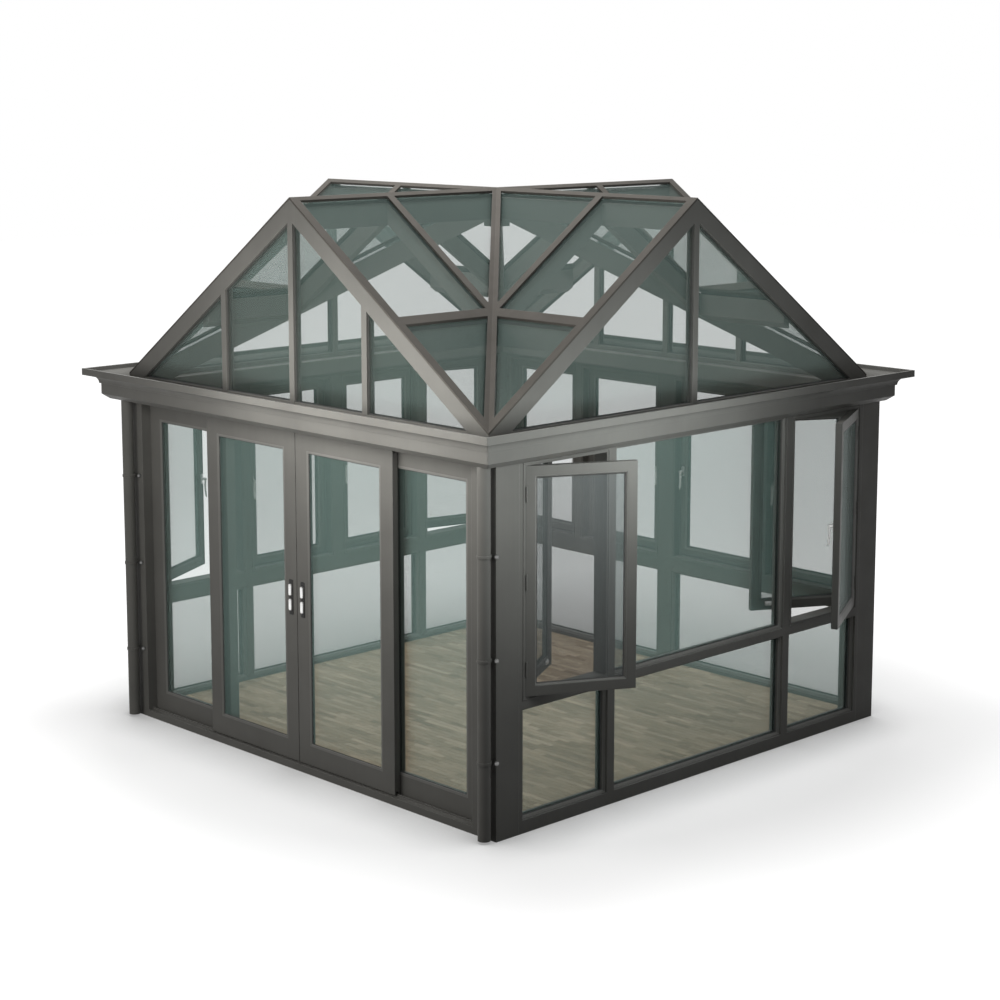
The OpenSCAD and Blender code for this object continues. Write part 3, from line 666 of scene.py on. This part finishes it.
for left, body in ((False, "door_right"), (True, "door_left")):
    leaf = door_leaf(left, MEETING_GAP / 2, LEAF_SET)
    bead, pair = leaf_trim(leaf, STILE, LEAF_W - STILE, LEAF_Z0 + LEAF_FOOT,
                           LEAF_Z1 - STILE)
    add_piece(body + "_beads", [bead], LIT_BEAD_METAL, body)
    add_piece(body + "_seals", pair, RUBBER, body)
    # two steel grips on a dark plate
    x = STILE / 2
    plate = leaf(pill((x, -PLATE_OUT, PULL_Z - PLATE_HALF),
                      (x, -PLATE_OUT, PULL_Z + PLATE_HALF),
                      (1, 0, 0), (0, -1, 0), 0.019, 0.0036, 20, 5.0))
    grips = [leaf(pill((x, -GRIP_OUT, PULL_Z + s * GRIP_STEP - GRIP_HALF),
                       (x, -GRIP_OUT, PULL_Z + s * GRIP_STEP + GRIP_HALF),
                       (1, 0, 0), (0, -1, 0), 0.0125, 0.0095, 16, 3.0))
             for s in (-1, 1)]
    add_piece(body + "_pull_plate", [plate], DARK_METAL, body, True)
    add_piece(body + "_grips", grips, STEEL, body, True)
    axle_z = SILL_H + TRACK_H + WHEEL_GAP + WHEEL_R
    wheels = [leaf(turned((x, LEAF_T / 2, axle_z), (0, 1, 0), WHEEL, 28))
              for x in (STILE, LEAF_W - STILE)]
    wheel = add_piece(body + "_rollers", wheels, DARK_METAL, body)
    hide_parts("sliding_" + body + "_fittings")


# -------------------------------------------------------------- gable seals

SLOPE = ROOF_RISE / GABLE
PITCH = math.atan(SLOPE)
ROOF_Z = RIDGE_Z - CAP_T / math.cos(PITCH)
UNDER_VERGE = ROOF_Z - VERGE_H / math.cos(PITCH)

gable_seals = []
for quarter, bars in enumerate((DOOR_BARS, SIDE_BARS, DOOR_BARS, SIDE_BARS)):
    gable = Place(turn_z(quarter * math.pi / 2), (0, 0, 0))
    foot = GUTTER_Z + RAIL_H
    reach = (UNDER_VERGE - foot) / SLOPE
    cuts = [-reach, *[b + s * BAR_HALF for b in bars for s in (-1, 1)], reach]
    face = -GABLE + (GABLE_T - GLASS_T) / 2
    for x0, x1 in zip(cuts[::2], cuts[1::2]):
        top0, top1 = (UNDER_VERGE - abs(x) * SLOPE for x in (x0, x1))
        corners = [(x0, face, foot), (x1, face, foot), (x1, face, top1), (x0, face, top0)]
        # the outermost panes are triangles
        if x0 == -reach:
            corners = corners[:3]
        if x1 == reach:
            corners = [corners[0], corners[1], corners[3]]
        for y, normal, loop in ((face, OUT, corners), (face + GLASS_T, IN, corners[::-1])):
            loop = [(x, y, z) for x, _, z in loop]
            seal = mitred_ring(loop, normal, seal_profile(BARE_REACH))
            gable_seals.append(gable(seal))
add_piece("gable_seals", gable_seals, RUBBER)


# ----------------------------------------------------------------- fittings

def window_lever(sash, width):
    """A cranked lever: a rounded plate, a round neck, and an arm that tapers
    and bends back towards the sash."""
    x, y, z = width - SASH_W / 2, SASH_T, (UP_Z0 + UP_Z1) / 2
    plate = pill((x, y + 0.003, z - 0.036), (x, y + 0.003, z + 0.036),
                 (1, 0, 0), (0, 1, 0), 0.0145, 0.005, 20, 4.0)
    neck = turned((x, y + 0.004, z), (0, 1, 0), [(0, 0.011), (0.01, 0.0105),
                  (0.03, 0.0095), (0.035, 0.009), (0.037, 0.0001)])
    t = np.linspace(0, 1, 12)
    bend = y + 0.034 - 0.006 * np.sin(t * np.pi) + 0.003 * t
    arm = np.stack([np.full(12, x), bend, z + 0.008 - 0.14 * t], 1)
    size = np.minimum(1, np.minimum(t, 1 - t) * 9 + 0.02) ** 0.5
    lever = swept(arm, (1, 0, 0), (0, 1, 0), (0.0105 - 0.002 * t) * size,
                  (0.0062 - 0.0012 * t) * size, 14)
    return [sash(p) for p in (plate, neck, lever)]


def sash_latches(sash, width, foot):
    """A small latch on the bottom bar of an inner sash, on both faces."""
    x, z = width - 0.12, foot + 0.045
    return [sash(pill((x - 0.026, y, z), (x + 0.026, y, z), (0, 0, 1), (0, side, 0),
                      0.015, 0.007, 16, 3.0))
            for y, side in ((SASH_T + 0.005, 1), (-0.005, -1))]


levers = []
for sash, width, foot, kind in SASHES:
    if kind != "inner":
        levers += window_lever(sash, width)
for sash, width, foot, kind in SASHES:
    if kind == "inner":
        levers += sash_latches(sash, width, foot)
handles = add_piece("window_levers", levers, STEEL, smooth=True)
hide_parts("window_handles")

# Barrel hinges on the hinged stiles: three knuckles with fine joints between
KNUCKLES = [(-0.045, 0.0001), (-0.045, 0.004), (-0.0435, 0.0055), (-0.016, 0.0055),
            (-0.0155, 0.0046), (-0.0145, 0.0046), (-0.014, 0.0055), (0.014, 0.0055),
            (0.0145, 0.0046), (0.0155, 0.0046), (0.016, 0.0055), (0.0435, 0.0055),
            (0.045, 0.004), (0.045, 0.0001)]
HINGE_X, HINGE_OUT, HINGE_END = 0.006, 0.003, 0.16
hinges = []
for sash, width, foot, kind in SASHES:
    y = SASH_T + HINGE_OUT if kind == "inner" else -HINGE_OUT
    for z in (foot + HINGE_END, (foot + SASH_Z1) / 2, SASH_Z1 - HINGE_END):
        hinges.append(sash(turned((HINGE_X, y, z), (0, 0, 1), KNUCKLES, 16)))
add_piece("sash_hinges", hinges, METAL)

# Round bolt heads beside the pipes hold the brackets
BOLT_SIDE, BOLT_R, BOLT_RISE, BOLT_FOOT = 0.055, 0.0135, 0.016, 0.006
bolts = [dome((x + s * BOLT_SIDE, FRONT_Y, z), (0, -1, 0), BOLT_R, BOLT_RISE, BOLT_FOOT)
         for x in PIPE_X for z in BRACKET_Z for s in (-1, 1)]
add_piece("bracket_bolts", bolts, ZINC, smooth=True)


# -------------------------------------------------------------------- floor

def floor_strips():
    """Strips 44 mm wide and 200 mm long in stepped rows along X. Each is a low
    slab whose top draws in by 0.8 mm on all sides, clipped to the room, with
    the attribute 'tone' from a seeded draw."""
    width, length, draw_in, shortest = 0.044, 0.2, 0.0008, 0.012
    low_z, high_z, wall_gap = FLOOR_TOP + 0.0002, FLOOR_TOP + 0.0022, 0.002
    y0, y1 = FLOOR_Y
    rows = np.arange(int(np.ceil((y1 - y0) / width)))
    by_posts = ((y0 + rows * width < FRONT_Y + POST_D)
                | (y0 + (rows + 1) * width > BACK_Y - POST_D))
    half = np.where(by_posts, WALL_X - POST_W, WALL_X - FRAME_T) - wall_gap
    cells = np.arange(-10, 10)
    row, cell = (a.ravel() for a in np.meshgrid(rows, cells, indexing="ij"))
    step = (row * 0.37 % 1) * length
    low_x = np.clip(cell * length + step, -half[row], half[row])
    high_x = np.clip((cell + 1) * length + step, -half[row], half[row])
    low_y = y0 + row * width
    high_y = np.minimum(low_y + width, y1)
    keep = high_x - low_x > shortest
    low_x, high_x, low_y, high_y = (a[keep] for a in (low_x, high_x, low_y, high_y))
    n = len(low_x)
    xs = np.stack([low_x, high_x, high_x, low_x], 1)
    ys = np.stack([low_y, low_y, high_y, high_y], 1)
    inset_x = np.array([1, -1, -1, 1]) * draw_in
    inset_y = np.array([1, 1, -1, -1]) * draw_in
    foot = np.stack([xs, ys, np.full((n, 4), low_z)], -1)
    top = np.stack([xs + inset_x, ys + inset_y, np.full((n, 4), high_z)], -1)
    verts = np.concatenate([foot, top], 1).reshape(-1, 3)
    faces = np.array([[4, 5, 6, 7], [0, 1, 5, 4], [1, 2, 6, 5], [2, 3, 7, 6],
                      [3, 0, 4, 7], [3, 2, 1, 0]])
    quads = (np.arange(n)[:, None, None] * 8 + faces).reshape(-1, 4)
    tones = np.random.default_rng(11).beta(2.2, 2.2, n)
    return verts, quads, np.repeat(tones, 8)


verts, quads, tones = floor_strips()
strips = add_piece("floor_strips", [(verts, quads)], WOOD)
tone = strips.data.attributes.new("tone", "FLOAT", "POINT")
tone.data.foreach_set("value", tones)


# ------------------------------------------------------ stage, light, camera

SEEN = ("Is Camera Ray", "Is Glossy Ray", "Is Transmission Ray")
WORLD_LIGHT = 0.13


def any_ray(tree, names):
    """1 where the ray is one of the named kinds, else 0."""
    seen = tree.nodes.new("ShaderNodeLightPath")
    value = seen.outputs[names[0]]
    for name in names[1:]:
        either = tree.nodes.new("ShaderNodeMath")
        either.operation = "MAXIMUM"
        tree.links.new(value, either.inputs[0])
        tree.links.new(seen.outputs[name], either.inputs[1])
        value = either.outputs[0]
    return value


def stage_material():
    """A pale matt floor. To the eye, to mirrors and through glass it glows
    too: less where the object stands close over it, a painted shadow, and more
    from 2.6 m outwards, where the lamps no longer reach. Other rays see a darker floor."""
    mat = bpy.data.materials.new("pale_floor")
    mat.use_nodes = True
    tree = mat.node_tree
    tree.nodes.clear()
    pale, dark = (tree.nodes.new("ShaderNodeBsdfDiffuse") for _ in range(2))
    pale.inputs["Color"].default_value = (0.36, 0.36, 0.36, 1)
    dark.inputs["Color"].default_value = (0.14, 0.14, 0.14, 1)
    # painted shadow: the floor's glow drops with ambient occlusion where the building
    # stands close over it
    near = tree.nodes.new("ShaderNodeAmbientOcclusion")
    near.samples = 16
    near.inputs["Distance"].default_value = 0.6
    glow_with_painted_shadow = levels(tree, near.outputs["AO"], 0.3, 0.66, 0.5, 0.95)
    place = tree.nodes.new("ShaderNodeTexCoord")
    reach = tree.nodes.new("ShaderNodeVectorMath")
    reach.operation = "LENGTH"
    tree.links.new(place.outputs["Object"], reach.inputs[0])
    far_glow = levels(tree, reach.outputs["Value"], 0.0, 0.4, 2.6, 4.6)
    total = tree.nodes.new("ShaderNodeMath")
    tree.links.new(glow_with_painted_shadow, total.inputs[0])
    tree.links.new(far_glow, total.inputs[1])
    glow = tree.nodes.new("ShaderNodeEmission")
    tree.links.new(total.outputs[0], glow.inputs["Strength"])
    both = tree.nodes.new("ShaderNodeAddShader")
    mix = tree.nodes.new("ShaderNodeMixShader")
    out = tree.nodes.new("ShaderNodeOutputMaterial")
    tree.links.new(pale.outputs[0], both.inputs[0])
    tree.links.new(glow.outputs[0], both.inputs[1])
    tree.links.new(any_ray(tree, SEEN), mix.inputs["Fac"])
    tree.links.new(dark.outputs[0], mix.inputs[1])
    tree.links.new(both.outputs[0], mix.inputs[2])
    tree.links.new(mix.outputs[0], out.inputs["Surface"])
    return mat


def pale_floor(half=40):
    """One flat square under the building."""
    corners = [(-half, -half, 0), (half, -half, 0), (half, half, 0), (-half, half, 0)]
    ground = bpy.data.meshes.new("ground")
    ground.from_pydata(corners, [], [(0, 1, 2, 3)])
    ground.materials.append(stage_material())
    floor = bpy.data.objects.new("ground", ground)
    bpy.context.scene.collection.objects.link(floor)


def studio_world():
    """Even studio light, and white where the eye, a mirror or glass sees it."""
    world = bpy.data.worlds.new("studio")
    world.use_nodes = True
    tree = world.node_tree
    base = tree.nodes["Background"]
    base.inputs["Color"].default_value = (1, 1, 1, 1)
    base.inputs["Strength"].default_value = WORLD_LIGHT
    bright = tree.nodes.new("ShaderNodeBackground")
    bright.inputs["Color"].default_value = (1, 1, 1, 1)
    mix = tree.nodes.new("ShaderNodeMixShader")
    tree.links.new(any_ray(tree, SEEN), mix.inputs["Fac"])
    tree.links.new(base.outputs[0], mix.inputs[1])
    tree.links.new(bright.outputs[0], mix.inputs[2])
    tree.links.new(mix.outputs[0], tree.nodes["World Output"].inputs["Surface"])
    bpy.context.scene.world = world


def soft_lamp(name, place, aim, size, power, tint=(1, 1, 1)):
    """A flat softbox that faces a point, and that no eye or mirror sees."""
    lamp = bpy.data.lights.new(name, "AREA")
    lamp.shape = "RECTANGLE"
    lamp.size, lamp.size_y = size
    lamp.energy = power
    lamp.color = tint
    made = bpy.data.objects.new(name, lamp)
    made.visible_camera = made.visible_glossy = False
    bpy.context.scene.collection.objects.link(made)
    made.location = place
    facing = (Vector(aim) - Vector(place)).to_track_quat("-Z", "Y")
    made.rotation_euler = facing.to_euler()


def photo_camera():
    """The camera at the photograph's place, angle and lens."""
    lens = bpy.data.cameras.new("camera")
    lens.sensor_width = 36
    lens.lens = 36 * 2.1528
    lens.shift_y = -0.09
    lens.clip_end = 200
    camera = bpy.data.objects.new("camera", lens)
    bpy.context.scene.collection.objects.link(camera)
    azimuth, down = math.radians(45.994), math.radians(8.766)
    ahead = Vector((-math.sin(azimuth) * math.cos(down),
                    math.cos(azimuth) * math.cos(down), -math.sin(down)))
    camera.location = (10.2263, -9.8488, 4.2865)
    camera.rotation_euler = ahead.to_track_quat("-Z", "Y").to_euler()
    bpy.context.scene.camera = camera


WARM, COOL = (1, 0.985, 0.95), (0.95, 1, 0.99)
pale_floor()
studio_world()
soft_lamp("front_softbox", (0.8, -2.7, 2.6), (0.8, -1.74, 2.6), (2.4, 0.8), 42, WARM)
soft_lamp("front_fill", (-1.0, -6.0, 2.0), (-0.5, -1.74, 1.4), (3.0, 2.0), 66, WARM)
soft_lamp("right_softbox", (2.75, -1.0, 2.3), (1.8, -1.0, 2.3), (2.4, 0.8), 27, COOL)
soft_lamp("back_softbox", (0, 3.6, 2.6), (0, 1.8, 2.4), (3.0, 0.9), 60)
soft_lamp("left_softbox", (-3.6, 0.4, 2.6), (-1.8, 0.4, 2.4), (3.0, 0.9), 60)
soft_lamp("top_softbox", (-0.6, -0.4, 7.5), (-0.4, -0.3, 0), (2.5, 2.5), 520)
bpy.context.scene.view_settings.view_transform = "Standard"
photo_camera()
